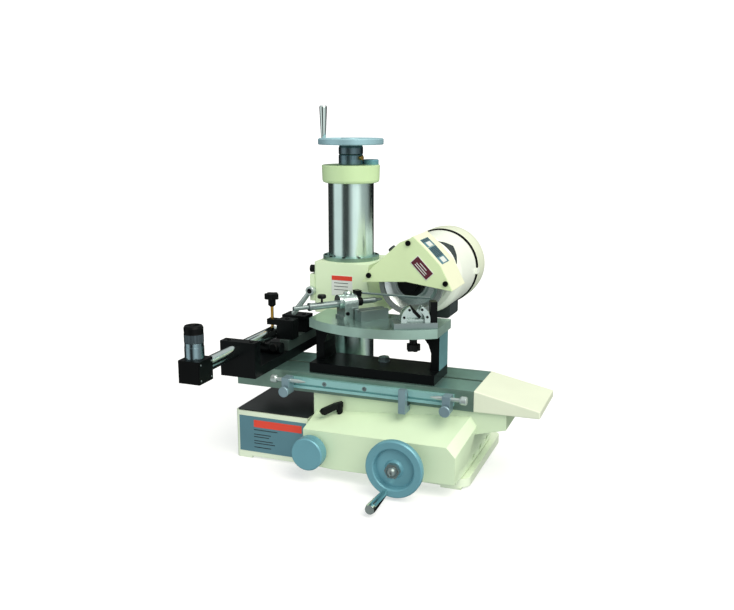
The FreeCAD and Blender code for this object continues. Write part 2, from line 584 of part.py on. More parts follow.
def make_head_controls():
    hub = turned([(0, 0), (8, 0), (9, 1.5), (9, 11.7), (0, 11.7)], (-127, -10, 311), Y_AXIS)
    hub = fuse(hub, rod((-127, 1, 311), Y_AXIS, 4, 57))
    direction = V(-35, 0, -45)
    direction.normalize()
    start = V(-127, -4, 311) + direction * 4
    lever = Part.makeCone(4.5, 5.5, 56, start, direction)
    ball = Part.makeSphere(5.5, start + direction * 56)
    hub = cut(fuse(hub, lever, ball), hexagon((-127, -10, 311), Y_AXIS, 6, 3))
    save("clamp_lever", hub)
    knob = fuse(rod((-132, 11, 353), X_AXIS, 7.5, 9.7), rod((-123, 11, 353), X_AXIS, 3, 9))
    save("head_lock_screw", knob)


def make_motor():
    x, z = WHEEL_X, WHEEL_Z
    r = MOTOR_R
    profile = [(0, 60), (58, 60), (66, 63), (r - 2, 76), (r, 90), (r, 198), (r - 5, 198),
               (r - 5, 203), (0, 203)]
    body = turned(profile, (x, 0, z), Y_AXIS)
    ribs = []
    for degrees in (-3, 177):
        lug = box(60, r + 4, 190, 212, -6, 6)
        lug.rotate(V(0, 0, 0), Y_AXIS, -degrees)
        lug.translate(V(x, 0, z))
        ribs.append(lug)
    profile = [(0, 203), (r + 3, 203), (r + 3.5, 205), (r + 3.5, 245), (r + 2, 262), (r - 4, 277),
               (r - 16, 285), (0, 285)]
    cover = turned(profile, (x, 0, z), Y_AXIS)
    foot = box(x - 8, x + 52, 90, 150, z - 84, z - 40)
    foot = rounded(foot, 6, lambda m, d: abs(d.y) > 0.9)
    barrel = rod((x, 50, z), Y_AXIS, r, 160)
    save("motor_foot", cut(foot, barrel))
    body = cut(fuse(body, *ribs), cover, rod((x, 50, z), Y_AXIS, 10 + FIT, 110))
    save("motor_body", body)
    vents = []
    for i in range(8):
        slot = box(14, 50, 280, 290, -2.5, 2.5)
        slot.rotate(V(0, 0, 0), Y_AXIS, 45 * i)
        slot.translate(V(x, 0, z))
        vents.append(slot)
    inside = rod((x, 203, z), Y_AXIS, r - 22, 78)
    save("motor_rear_cover", cut(cover, inside, *vents))


def make_guard():
    x, z = WHEEL_X, WHEEL_Z
    outer = prism_xz(guard_outline(), -26, 60)
    cavity = rod((x, -27, z), Y_AXIS, WHEEL_R + 2, 79)
    housing = cut(outer, cavity, rod((x, 40, z), Y_AXIS, 18, 30))
    housing = cut(housing, box(-130, 14, 1, 70, 200, 500))
    spots = GUARD_SCREWS
    housing = sorted(housing.Solids, key=lambda s: s.Volume)[-1]
    housing = cut(housing, *[rod((a, -26, b), Y_AXIS, 2.5, 14) for a, b in spots])
    save("guard_housing", housing)
    plate = prism_xz(guard_outline(), -30, -26)
    plate = cut(plate, *[rod((a, -31, b), Y_AXIS, 2.5, 6) for a, b in spots])
    save("guard_front_plate", plate)


def make_spindle():
    x, z = WHEEL_X, WHEEL_Z
    profile = [(10, 8), (30, 8), (34, 14), (44, 14), (54, 6), (54, 10), (60, 10), (60, 14),
               (48, 28), (26, 28), (26, 34), (10, 34)]
    save("wheel_body", turned(profile, (x, WHEEL_FACE_Y, z), Y_AXIS))
    ring = turned([(54, 0), (WHEEL_R, 0), (WHEEL_R, 10), (54, 10)], (x, WHEEL_FACE_Y, z), Y_AXIS)
    save("abrasive_ring", ring)
    shaft = rod((x, WHEEL_FACE_Y, z), Y_AXIS, 10, 120)
    flange = turned([(0, 0), (24, 0), (27, 3), (27, 8), (0, 8)], (x, WHEEL_FACE_Y, z), Y_AXIS)
    nut = hexagon((x, WHEEL_FACE_Y - 8, z), Y_AXIS, 30, 9)
    save("spindle", fuse(shaft, flange, nut))


def make_elevation():
    cx, cy = COLUMN_X, COLUMN_Y
    base_z = COLUMN_TOP + 34
    screw = rod((cx, cy, 120), Z_AXIS, 10, 484)
    profile = [(9, 0), (23, 0), (24, 1), (24, 12), (22, 18.5), (9, 18.5)]
    hub = turned(profile, (cx, cy, base_z + 20.6), Z_AXIS)
    save("elevating_screw", fuse(screw, hub))
    profile = [(10 + FIT, 0), (23, 0), (24, 1), (24, 18), (22.5, 20), (10 + FIT, 20)]
    ring = turned(profile, (cx, cy, base_z + 0.3), Z_AXIS)
    a = math.radians(-20)
    direction = V(math.cos(a), math.sin(a), 0)
    seat = V(cx, cy, base_z + 14) + direction * 12
    ring = cut(ring, Part.makeCylinder(2 + FIT, 30, seat, direction))
    save("dial_ring", ring)
    screw = Part.makeCylinder(2, 13, seat, direction)
    head = Part.makeCylinder(4.2, 6, seat + direction * 12.4, direction)
    save("dial_lock_screw", fuse(screw, head))
    disc = [(10, 0), (30, 0), (32, 2), (58, 2), (60, 0), (63, 0), (64, 2), (64, 10), (62, 12),
            (57, 12), (53, 8), (22, 8), (18, 13), (10, 13)]
    wheel = turned(disc, (cx, cy, base_z + 39.1), Z_AXIS)
    hx, hy = cx - 49.6, cy - 19.2
    pin = fuse(rod((hx, hy, base_z + 45), Z_AXIS, 4, 6.5), rod((hx, hy, base_z + 49), Z_AXIS, 3, 12))
    save("top_handwheel", fuse(wheel, pin))
    grip = [(3 + FIT, 0), (4.5, 0), (5, 6), (7.2, 50), (7.5, 58), (6.5, 61), (0, 61), (0, 10),
            (3 + FIT, 10)]
    save("top_handle", turned(grip, (hx, hy, base_z + 52), Z_AXIS))


# ---- microscope arm ---------------------------------------------------------------
def make_arm():
    base = box(-224, -153, -190, 118, TABLE_TOP, ARM_TOP)
    upright = box(-224, -153, -190, -168, ARM_TOP, 246)
    rail = box(-172, -153, -53, 100, ARM_TOP, 219)
    focus = fuse(rod((-214, -74, 205.5), X_AXIS, 8.5, 34), rod((-181, -74, 208.5), X_AXIS, 11, 24))
    arm = fuse(base, upright, rail, focus)
    arm = cut(arm, rod((SCOPE_X, -191, SCOPE_Z), Y_AXIS, SCOPE_R + FIT, 30))
    arm = cut(arm, rod((SCOPE_X, -160, SCOPE_Z), Y_AXIS, SCOPE_R + 0.5, 150))
    arm = cut(arm, rod((-168, -92, 212), Y_AXIS, 3 + FIT, 20))
    save("arm_base", arm)
    clamp = fuse(box(-182, -148, -46, -18, 219, 257), box(-203, -182, -46, -30, 246, 257))
    clamp = cut(clamp, rod((STAR_X, -38, 240), Z_AXIS, 3 + FIT, 30))
    rear = fuse(box(-190, -149, 20, 52, 219, 247), box(-200, -149, 14, 52, 247, 253))
    save("arm_blocks", clamp, rear)
    shaft = rod((STAR_X, -38, 241.3), Z_AXIS, 3, 45)
    neck = turned([(0, 0), (4, 0), (7.5, 3), (7.5, 15), (0, 15)], (STAR_X, -38, 281), Z_AXIS)
    star = prism_xy(star_outline(14.5, 5, 3.5), 0, 11)
    star.translate(V(STAR_X, -38, 296))
    save("star_knob", fuse(neck, star, shaft))
    knob = turned([(0, 0), (7, 0), (8, 1), (8, 4.5), (0, 4.5)], (-168, -89.8, 212), Y_AXIS)
    save("focus_knob", fuse(knob, rod((-168, -86, 212), Y_AXIS, 3, 12)))


def make_microscope():
    x, z = SCOPE_X, SCOPE_Z
    top = z + 20.2
    cx, cy = x - 1, -319
    barrel = turned([(7, 0), (16.7, 0), (16.7, 21), (16.2, 21), (16.2, 28), (14, 28), (14, 36), (7, 36)],
                    (cx, cy, top), Z_AXIS)
    save("scope_tube", rod((x, -297, z), Y_AXIS, SCOPE_R, 264), barrel)
    prism = box(x - 20.5, x + 20.5, -341, -297, z - 19, top)
    prism = rounded(prism, 1.5, lambda m, d: abs(d.z) > 0.9)
    save("prism_box", prism)
    profile = [(14 + FIT, 0), (16, 0), (16.6, 1), (16.6, 15), (16.2, 16), (16.6, 25), (14.8, 28.5),
               (11, 29.5), (8.5, 26), (8.5, 10), (14 + FIT, 10)]
    grip = turned(profile, (cx, cy, top + 28.3), Z_AXIS)
    flutes = []
    for i in range(18):
        a = 2 * math.pi * i / 18
        flutes.append(rod((cx + 17 * math.cos(a), cy + 17 * math.sin(a), top + 30), Z_AXIS, 1.2, 12))
    save("eyepiece_grip", cut(grip, *flutes))


make_base()
make_column()
make_saddle()
make_cross_feed()
make_table_drive()
make_lock_lever()
make_table()
make_dog("left", -114.0, 1, 31.7, 37.0)
make_dog("right", 193.0, -1, 35.0, 30.0)
make_plate()
make_steady()
make_drill_fixture()
make_head()
make_head_controls()
make_motor()
make_guard()
make_spindle()
make_elevation()
make_arm()
make_microscope()
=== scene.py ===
import json
import math

import bmesh
import bpy
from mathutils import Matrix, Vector


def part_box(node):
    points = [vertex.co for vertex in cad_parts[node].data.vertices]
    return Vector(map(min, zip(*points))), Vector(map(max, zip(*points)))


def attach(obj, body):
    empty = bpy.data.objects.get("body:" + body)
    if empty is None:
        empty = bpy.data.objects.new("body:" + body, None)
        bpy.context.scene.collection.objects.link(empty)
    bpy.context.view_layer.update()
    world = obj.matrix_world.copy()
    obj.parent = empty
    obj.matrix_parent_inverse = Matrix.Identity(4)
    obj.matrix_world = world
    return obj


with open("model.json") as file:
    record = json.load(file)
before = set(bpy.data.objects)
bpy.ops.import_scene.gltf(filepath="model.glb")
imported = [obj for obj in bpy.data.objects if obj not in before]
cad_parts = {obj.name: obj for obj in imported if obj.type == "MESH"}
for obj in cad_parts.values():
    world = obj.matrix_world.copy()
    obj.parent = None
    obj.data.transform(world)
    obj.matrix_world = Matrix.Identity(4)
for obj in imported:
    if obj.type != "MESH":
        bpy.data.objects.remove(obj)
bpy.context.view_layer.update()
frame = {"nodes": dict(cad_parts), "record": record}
NODES = frame["nodes"]


# ---- small helpers ----------------------------------------------------------------
def shade(r, g, b):
    """Linear colour from the usual 0-255 display values."""
    out = []
    for c in (r, g, b):
        c = c / 255
        out.append(c / 12.92 if c <= 0.04045 else ((c + 0.055) / 1.055) ** 2.4)
    return (out[0], out[1], out[2], 1.0)


def mixed(colour, factor):
    return (colour[0] * factor, colour[1] * factor, colour[2] * factor, 1.0)


class Graph:
    """A material's node tree with short calls for the nodes used here."""

    def __init__(self, name):
        self.material = bpy.data.materials.new(name)
        self.material.use_nodes = True
        self.tree = self.material.node_tree
        self.shader = self.tree.nodes["Principled BSDF"]
        self.coords = self.tree.nodes.new("ShaderNodeTexCoord").outputs["Object"]

    def link(self, a, b):
        self.tree.links.new(a, b)

    def set(self, **values):
        for key, value in values.items():
            self.shader.inputs[key.replace("_", " ")].default_value = value

    def stretched(self, scale, rotation=(0, 0, 0)):
        node = self.tree.nodes.new("ShaderNodeMapping")
        node.inputs["Scale"].default_value = scale
        node.inputs["Rotation"].default_value = rotation
        self.link(self.coords, node.inputs["Vector"])
        return node.outputs["Vector"]

    def noise(self, vector, scale, detail=3.0, roughness=0.5):
        node = self.tree.nodes.new("ShaderNodeTexNoise")
        node.inputs["Scale"].default_value = scale
        node.inputs["Detail"].default_value = detail
        node.inputs["Roughness"].default_value = roughness
        self.link(vector, node.inputs["Vector"])
        return node.outputs["Fac"]

    def ramp(self, value, stops):
        node = self.tree.nodes.new("ShaderNodeValToRGB")
        ramp = node.color_ramp
        while len(ramp.elements) < len(stops):
            ramp.elements.new(0.5)
        for element, (position, colour) in zip(ramp.elements, stops):
            element.position = position
            element.color = colour
        self.link(value, node.inputs["Fac"])
        return node.outputs["Color"]

    def range(self, value, low, high):
        node = self.tree.nodes.new("ShaderNodeMapRange")
        node.inputs["To Min"].default_value = low
        node.inputs["To Max"].default_value = high
        self.link(value, node.inputs["Value"])
        return node.outputs["Result"]

    def math(self, operation, a, b=None):
        node = self.tree.nodes.new("ShaderNodeMath")
        node.operation = operation
        for socket, value in zip(node.inputs, (a, b)):
            if value is None:
                continue
            if isinstance(value, (int, float)):
                socket.default_value = value
            else:
                self.link(value, socket)
        return node.outputs[0]

    def position(self):
        """The node's own x, y and z, in metres."""
        node = self.tree.nodes.new("ShaderNodeSeparateXYZ")
        self.link(self.coords, node.inputs[0])
        return node.outputs["X"], node.outputs["Y"], node.outputs["Z"]

    def mix(self, factor, a, b):
        node = self.tree.nodes.new("ShaderNodeMixRGB")
        self.link(factor, node.inputs["Fac"])
        for socket, value in ((node.inputs["Color1"], a), (node.inputs["Color2"], b)):
            if isinstance(value, tuple):
                socket.default_value = value
            else:
                self.link(value, socket)
        return node.outputs["Color"]

    def bump(self, height, strength, distance, radius=0.0006):
        """Height bump over softly rounded edges."""
        soft = self.tree.nodes.new("ShaderNodeBevel")
        soft.samples = 4
        soft.inputs["Radius"].default_value = radius
        node = self.tree.nodes.new("ShaderNodeBump")
        node.inputs["Strength"].default_value = strength
        node.inputs["Distance"].default_value = distance
        self.link(height, node.inputs["Height"])
        self.link(soft.outputs["Normal"], node.inputs["Normal"])
        self.link(node.outputs["Normal"], self.shader.inputs["Normal"])


def enamel(name, colour, rough=0.34, grain=900.0, radius=0.0012):
    """Semi-gloss machine paint with a little orange peel."""
    g = Graph(name)
    cloud = g.noise(g.coords, 9.0, 4.0)
    tint = g.ramp(cloud, [(0.3, mixed(colour, 0.95)), (0.7, mixed(colour, 1.03))])
    g.link(tint, g.shader.inputs["Base Color"])
    peel = g.noise(g.coords, grain, 2.0)
    g.link(g.range(g.noise(g.coords, 60.0), rough - 0.04, rough + 0.06), g.shader.inputs["Roughness"])
    g.set(Metallic=0.0, IOR=1.5, Coat_Weight=0.25, Coat_Roughness=0.18)
    g.bump(peel, 0.05, 0.0004, radius)
    return g.material


# How a grain is drawn out: evenly, or along one axis.
EVEN = (1, 1, 1)
ALONG_X = (0.05, 1, 1)
ALONG_Z = (1, 1, 0.05)


def metal(name, colour, rough, stretch=EVEN, grain=400.0, depth=0.06, spread=0.06, radius=0.0005,
          metallic=1.0):
    """Bare or plated metal; stretch draws the grain out along one axis."""
    g = Graph(name)
    vector = g.stretched(stretch)
    streak = g.noise(vector, grain, 3.0, 0.6)
    cloud = g.noise(g.coords, 14.0, 4.0)
    tint = g.ramp(cloud, [(0.25, mixed(colour, 0.92)), (0.75, mixed(colour, 1.06))])
    g.link(tint, g.shader.inputs["Base Color"])
    g.link(g.range(streak, rough - spread, rough + spread), g.shader.inputs["Roughness"])
    g.set(Metallic=metallic)
    g.bump(streak, depth, 0.0003, radius)
    return g.material


def black_finish(name, level, rough, sheen=0.14, radius=0.0008):
    """Black paint, oxide or plastic with faint unevenness."""
    g = Graph(name)
    cloud = g.noise(g.coords, 30.0, 4.0)
    low = (level * 0.65, level * 0.85, level * 0.9, 1.0)
    high = (level * 1.05, level * 1.35, level * 1.4, 1.0)
    g.link(g.ramp(cloud, [(0.3, low), (0.7, high)]), g.shader.inputs["Base Color"])
    g.link(g.range(g.noise(g.coords, 500.0), rough - 0.05, rough + 0.07), g.shader.inputs["Roughness"])
    g.set(Metallic=0.0, Specular_IOR_Level=sheen)
    g.bump(g.noise(g.coords, 1400.0), 0.06, 0.0003, radius)
    return g.material


def gritty(name, colour):
    """Bonded abrasive grain."""
    g = Graph(name)
    grit = g.noise(g.coords, 1500.0, 4.0, 0.7)
    g.link(g.ramp(grit, [(0.35, mixed(colour, 0.6)), (0.65, mixed(colour, 1.3))]),
           g.shader.inputs["Base Color"])
    g.set(Roughness=0.85)
    g.bump(grit, 0.5, 0.0005, 0.0004)
    return g.material


def two_finishes(name, mask_of, first, second):
    """One node, two finishes, each (colour, metallic, roughness); mask_of(g) is 1 on the second."""
    g = Graph(name)
    mask = mask_of(g)
    cloud = g.noise(g.coords, 25.0, 4.0)
    tints = []
    for colour, metallic, rough in (first, second):
        tints.append(g.ramp(cloud, [(0.3, mixed(colour, 0.88)), (0.7, mixed(colour, 1.12))]))
    g.link(g.mix(mask, *tints), g.shader.inputs["Base Color"])
    g.link(g.range(mask, first[1], second[1]), g.shader.inputs["Metallic"])
    g.link(g.range(mask, first[2], second[2]), g.shader.inputs["Roughness"])
    g.set(Specular_IOR_Level=0.10)
    g.bump(g.noise(g.coords, 900.0), 0.08, 0.0003, 0.0006)
    return g.material


def beyond(**limits):
    """Mask: 1 where the node's own position is past every limit given, such as z=0.2."""
    def mask(g):
        place = dict(zip("xyz", g.position()))
        sides = [g.math("GREATER_THAN", place[axis], limit) for axis, limit in limits.items()]
        result = sides[0]
        for side in sides[1:]:
            result = g.math("MULTIPLY", result, side)
        return result
    return mask


def facing_up(g):
    """Mask: 1 on the level upper faces."""
    geometry = g.tree.nodes.new("ShaderNodeNewGeometry")
    split = g.tree.nodes.new("ShaderNodeSeparateXYZ")
    g.link(geometry.outputs["Normal"], split.inputs[0])
    return g.math("GREATER_THAN", split.outputs["Z"], 0.8)


def graduated(name, colour, centre, count, low, high):
    """Dial finish: satin metal with dark engraved strokes between two heights."""
    g = Graph(name)
    x, y, z = g.position()
    turn = g.math("ARCTAN2", g.math("SUBTRACT", y, centre[1]), g.math("SUBTRACT", x, centre[0]))
    step = g.math("FRACT", g.math("MULTIPLY", turn, count / (2 * math.pi)))
    stroke = g.math("LESS_THAN", step, 0.17)
    band = g.math("MULTIPLY", g.math("GREATER_THAN", z, low), g.math("LESS_THAN", z, high))
    mark = g.math("MULTIPLY", stroke, band)
    cloud = g.noise(g.coords, 14.0, 4.0)
    metal_tint = g.ramp(cloud, [(0.25, mixed(colour, 0.92)), (0.75, mixed(colour, 1.06))])
    g.link(g.mix(mark, metal_tint, (0.01, 0.012, 0.014, 1)), g.shader.inputs["Base Color"])
    g.link(g.range(mark, 0.32, 0.7), g.shader.inputs["Roughness"])
    g.set(Metallic=1.0)
    g.bump(g.math("SUBTRACT", 1.0, mark), 0.3, 0.0002, 0.0005)
    return g.material


CREAM = shade(213, 233, 199)
BLACK_PLASTIC = ((0.003, 0.0037, 0.004, 1), 0.0, 0.42)
BLACK_OXIDE = ((0.0028, 0.0038, 0.0042, 1), 0.0, 0.32)
MATERIALS = {
    "cream_paint": enamel("cream_enamel", CREAM),
    # The head, base, motor and cover creams are lighter copies of the one cream paint: painted light standing
    # in for the light on each part.
    "head_lit_cream": enamel("head_lit_enamel", shade(226, 244, 207)),
    "base_lit_cream": enamel("base_lit_enamel", shade(226, 239, 214)),
    "motor_lit_cream": enamel("motor_lit_enamel", shade(244, 250, 238), 0.4),
    "covers_lit_cream": enamel("covers_lit_enamel", shade(230, 237, 213), 0.4),
    "cap_paint": enamel("cap_enamel", shade(201, 228, 175), 0.4),
    "guard_paint": enamel("guard_enamel", shade(219, 239, 188), 0.42),
    # The guard's slanted band takes a paler copy of the guard paint: painted light for the band that faces the
    # light.
    "guard_lit_band": enamel("lit_band_enamel", shade(240, 243, 212), 0.42),
    "black_paint": black_finish("black_anodised", 0.0036, 0.30, 0.09),
    "prism_black": black_finish("prism_black", 0.0020, 0.34, 0.08),
    "cover_black": black_finish("cover_black", 0.024, 0.30, 0.25),
    "black_steel": black_finish("black_oxide", 0.0045, 0.38),
    "black_plastic": black_finish("black_plastic", 0.0030, 0.42),
    "cast_iron": black_finish("cast_iron", 0.045, 0.55),
    "blue_grey": metal("blue_grey_satin", shade(112, 168, 182), 0.42, EVEN, 700.0, 0.05, metallic=0.35),
    # The top handwheel's blue-grey is a lighter copy of the blue-grey satin: painted light for its rim, which
    # catches more light.
    "top_wheel_lit_grey": metal("top_wheel_lit_satin", shade(160, 198, 208), 0.42, EVEN, 700.0, 0.05,
                            metallic=0.35),
    "dial_grey": metal("dial_grey", shade(104, 124, 132), 0.36, (1, 1, 0.2), 700.0, 0.04),
    "dog_steel": metal("satin_zinc", shade(138, 164, 174), 0.36, EVEN, 700.0, 0.04, metallic=0.5),
    "rail_steel": metal("rail_steel", shade(160, 212, 212), 0.36, ALONG_X, 700.0, 0.05, metallic=0.5),
    "chrome": metal("hard_chrome", shade(222, 236, 232), 0.10, ALONG_Z, 900.0, 0.02, 0.03),
    "bright_steel": metal("bright_steel", shade(188, 202, 200), 0.30, EVEN, 700.0, 0.04, metallic=0.6),
    "fixture_steel": metal("fixture_steel", shade(196, 212, 208), 0.24, EVEN, 700.0, 0.02, 0.03,
                           metallic=0.93),
    "steel": metal("ground_steel", shade(140, 154, 154), 0.34, metallic=0.85),
    "brass": metal("brass", shade(206, 168, 92), 0.25),
    "wheel_aluminium": metal("turned_aluminium", shade(226, 234, 234), 0.28, EVEN, 900.0, 0.015, 0.03),
    "abrasive": gritty("abrasive_grit", (0.27, 0.30, 0.30, 1)),
    "red_print": enamel("red_print", shade(226, 62, 38), 0.4, 500.0, 0.0003),
    "white_print": enamel("white_print", shade(226, 232, 226), 0.4, 500.0, 0.0003),
    "maroon_print": enamel("maroon_print", shade(92, 30, 44), 0.35, 500.0, 0.0003),
    "dark_print": black_finish("dark_print", 0.035, 0.5),
    "plate_print": metal("nameplate_satin", shade(92, 136, 149), 0.5, EVEN, 900.0, 0.03, metallic=0.25),
}
# The column is ground round its axis, so its reflections are drawn out along it.
ground_look = metal("ground_chrome", shade(214, 236, 232), 0.21, ALONG_Z, 900.0, 0.02, 0.03)
MATERIALS["ground_chrome"] = ground_look
column_shader = ground_look.node_tree.nodes["Principled BSDF"]
column_shader.inputs["Anisotropic"].default_value = 0.97
column_shader.inputs["Anisotropic Rotation"].default_value = 0.25
# Tops and sides of the table and plate take separate finishes by which way they face: painted light, with the
# table's tops lighter and its sides darker, and the plate's sides given a duller, brighter finish that stands
# in for reflections.
MATERIALS["dark_steel"] = two_finishes(
    "table_ground_finish_painted_light", facing_up, (shade(124, 150, 138), 0.6, 0.36), (shade(148, 190, 180), 0.9, 0.36))
PLATE_LOOK = two_finishes(
    "plate_ground_finish_painted_light", facing_up, (shade(156, 184, 174), 0.5, 0.36), (shade(160, 190, 182), 0.9, 0.22))


def dress(node, key):
    mesh = NODES[node].data
    look = MATERIALS[key] if isinstance(key, str) else key
    mesh.materials.clear()
    mesh.materials.append(look)


SLOT_OF = {part["node"]: part["material_slot"] for part in frame["record"]["subparts"]}
for node_name in NODES:
    dress(node_name, SLOT_OF[node_name])
REPAINTED = {
    # Head, base, motor and covers take the lighter copies of the cream: painted light.
    "head_casting": "head_lit_cream",
    "base_casting": "base_lit_cream",
    "motor_body": "motor_lit_cream",
    "motor_rear_cover": "covers_lit_cream",
    "table_end_cover": "covers_lit_cream",
    "guard_front_plate": "guard_paint",
    # The band's paler enamel is painted light.
    "guard_housing": "guard_lit_band",
    "column": "ground_chrome",
    "column_cap": "cap_paint",
    "base_cover": "cover_black",
    "prism_box": "prism_black",
    # Lighter blue-grey copy: painted light.
    "top_handwheel": "top_wheel_lit_grey",
    "elevating_screw": "dial_grey",
    "left_dog": "dog_steel",
    "right_dog": "dog_steel",
    "left_stop_screw": "bright_steel",
    "right_stop_screw": "bright_steel",
    "left_clamp_screw": "dog_steel",
    "right_clamp_screw": "dog_steel",
    "dog_rail": "rail_steel",
    "fixture_bracket": "fixture_steel",
    "steady_arch": "fixture_steel",
    "clamp_lever": "bright_steel",
    "spindle": "black_steel",
    "guide_block": "steel",
    "drill_tube": "steel",
    "tube_thumbscrew": "black_steel",
}
for node_name, key in REPAINTED.items():
    dress(node_name, key)
# The plate's tops and sides differ by painted light.
dress("work_plate", PLATE_LOOK)

# Nodes that carry two finishes.
grip_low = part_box("eyepiece_grip")[0][2]
prism_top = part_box("prism_box")[1][2]
dress("scope_tube", two_finishes("tube_and_barrel", beyond(z=prism_top),
                                 (shade(214, 228, 226), 1.0, 0.14), (shade(140, 164, 172), 1.0, 0.20)))
smoky = (shade(74, 86, 92), 0.5, 0.34)
dress("eyepiece_grip", two_finishes("eyepiece_bands", beyond(z=grip_low + 0.0145), smoky,
                                    BLACK_PLASTIC))
star_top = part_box("star_knob")[1][2]
brass_look = (shade(200, 156, 70), 1.0, 0.28)
dress("star_knob", two_finishes("star_and_stud", beyond(z=star_top - 0.0262), brass_look,
                                BLACK_PLASTIC))
arm_low, arm_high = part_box("arm_base")
ground_rail = (shade(110, 128, 122), 0.8, 0.38)
rail_mask = beyond(y=arm_low[1] + 0.1365, z=arm_low[2] + 0.0186)
dress("arm_base", two_finishes("arm_and_rail", rail_mask, BLACK_OXIDE, ground_rail))
bracket_low, bracket_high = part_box("plate_bracket")
# The right leg's outer face is drawn in grey steel, the rest of the bracket in black oxide.
leg_mask = beyond(x=bracket_high[0] - 0.0004, z=bracket_low[2] + 0.0185)
dress("plate_bracket", two_finishes("bracket_and_grey_outer_face", leg_mask, BLACK_OXIDE,
                                    (shade(104, 146, 152), 0.3, 0.4)))
dress("table_fasteners", two_finishes("nuts_and_fixture_screws", beyond(z=0.27),
                                      (shade(150, 168, 170), 0.9, 0.28), BLACK_OXIDE))
dress("saddle_fittings", two_finishes("stop_and_gib_screws", beyond(x=0.15),
                                      (shade(140, 166, 176), 0.5, 0.38), BLACK_OXIDE))
dress("stop_bar", two_finishes("clamp_and_rod", beyond(x=0.002), BLACK_OXIDE,
                               (shade(150, 166, 166), 1.0, 0.28)))
dial_low, dial_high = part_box("dial_ring")
dial_centre = ((dial_low[0] + dial_high[0]) / 2, (dial_low[1] + dial_high[1]) / 2)
dress("dial_ring", graduated("dial_strokes", shade(112, 140, 150), dial_centre, 50,
                             dial_low[2] + 0.010, dial_high[2] - 0.002))


# ---- pieces that only show --------------------------------------------------------
def mesh_of(bm, name):
    bmesh.ops.recalc_face_normals(bm, faces=bm.faces)
    mesh = bpy.data.meshes.new(name)
    bm.to_mesh(mesh)
    bm.free()
    for face in mesh.polygons:
        face.use_smooth = True
    mesh.set_sharp_from_angle(angle=math.radians(35))
    return mesh


def add_piece(name, mesh, body, key, bevel=0.0):
    obj = bpy.data.objects.new(name, mesh)
    mesh.materials.append(MATERIALS[key])
    bpy.context.scene.collection.objects.link(obj)
    if bevel:
        rounding = obj.modifiers.new("rounding", "BEVEL")
        rounding.width = bevel
        rounding.segments = 3
        rounding.limit_method = "ANGLE"
    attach(obj, body)
    return obj


def extruded(name, outline, place, depth):
    """Closed prism; place(a, b, t) puts outline point (a, b) at depth t."""
    bm = bmesh.new()
    near = [bm.verts.new(place(a, b, 0)) for a, b in outline]
    far = [bm.verts.new(place(a, b, depth)) for a, b in outline]
    bm.faces.new(near)
    bm.faces.new(list(reversed(far)))
    for i in range(len(outline)):
        j = (i + 1) % len(outline)
        bm.faces.new((near[i], far[i], far[j], near[j]))
    return mesh_of(bm, name)


def lathe(name, profile, centre, axis, ring=False, steps=64):
    """Turned piece; with ring the profile (radius, height) closes on itself round a hole."""
    axis = Vector(axis).normalized()
    side = axis.orthogonal().normalized()
    up = axis.cross(side)
    bm = bmesh.new()
    rings = []
    for radius, height in profile:
        row = []
        for i in range(steps):
            a = 2 * math.pi * i / steps
            spoke = side * math.cos(a) + up * math.sin(a)
            row.append(bm.verts.new(Vector(centre) + axis * height + spoke * radius))
        rings.append(row)
    if ring:
        rings.append(rings[0])
    for low, high in zip(rings, rings[1:]):
        for i in range(steps):
            j = (i + 1) % steps
            bm.faces.new((low[i], low[j], high[j], high[i]))
    if not ring:
        bm.faces.new(rings[0])
        bm.faces.new(rings[-1])
    return mesh_of(bm, name)


def front_panel(name, x0, x1, z0, z1, face_y, thick, body, key):
    """Thin plate on a face that looks towards -Y."""
    corners = ((x0, z0), (x1, z0), (x1, z1), (x0, z1))
    mesh = extruded(name, corners, lambda a, b, t: (a, face_y - t, b), thick)
    return add_piece(name, mesh, body, key, thick * 0.35)


def button_screw(name, centre, axis, radius, body, key="black_steel"):
    """Small domed screw head with a socket."""
    shares = ((1, 0), (1, 0.35), (0.8, 0.7), (0.5, 0.8), (0.46, 0.3))
    profile = [(radius * across, radius * up) for across, up in shares]
    return add_piece(name, lathe(name, profile, centre, axis, steps=32), body, key)


# Nameplate on the cabinet: plain plate, plain red bar, plain printed lines.
base_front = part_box("base_casting")[0][1]
cabinet_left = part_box("base_casting")[0][0]
plate_left = cabinet_left + 0.009
plate_width = 0.141
plate_thick = 0.0008
print_left = plate_left + 0.031
print_y = base_front - plate_thick
print_thick = 0.0002
front_panel("nameplate", plate_left, plate_left + plate_width, 0.014, 0.085, base_front, plate_thick,
            "base", "plate_print")
front_panel("nameplate_bar", print_left, print_left + 0.101, 0.064, 0.0785, print_y, print_thick,
            "base", "red_print")
LINES = ((0.004, 0.050), (0.013, 0.036), (0.018, 0.032), (0.026, 0.040), (0.031, 0.044), (0.039, 0.036))
for i, (drop, length) in enumerate(LINES):
    z = 0.062 - drop
    front_panel("nameplate_line_%d" % i, print_left, print_left + length, z, z + 0.0016,
                print_y, print_thick, "base", "dark_print")

# Label on the head, tag on the guard.
head_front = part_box("head_casting")[0][1]
label_thick = 0.0005
label_y = head_front - label_thick
front_panel("head_label", -0.0845, -0.0406, 0.304, 0.344, head_front, label_thick,
            "head", "white_print")
front_panel("head_label_bar", -0.0839, -0.0412, 0.3345, 0.3434, label_y, print_thick,
            "head", "red_print")
for i in range(3):
    z = 0.3285 - 0.0065 * i
    front_panel("head_label_line_%d" % i, -0.079, -0.050, z, z + 0.0012, label_y, print_thick,
                "head", "dark_print")

guard_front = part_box("guard_front_plate")[0][1]
TAG = (0.1095, 0.37475)
TAG_LONG = Vector((0.695, -0.719))
TAG_SHORT = Vector((0.719, 0.695))


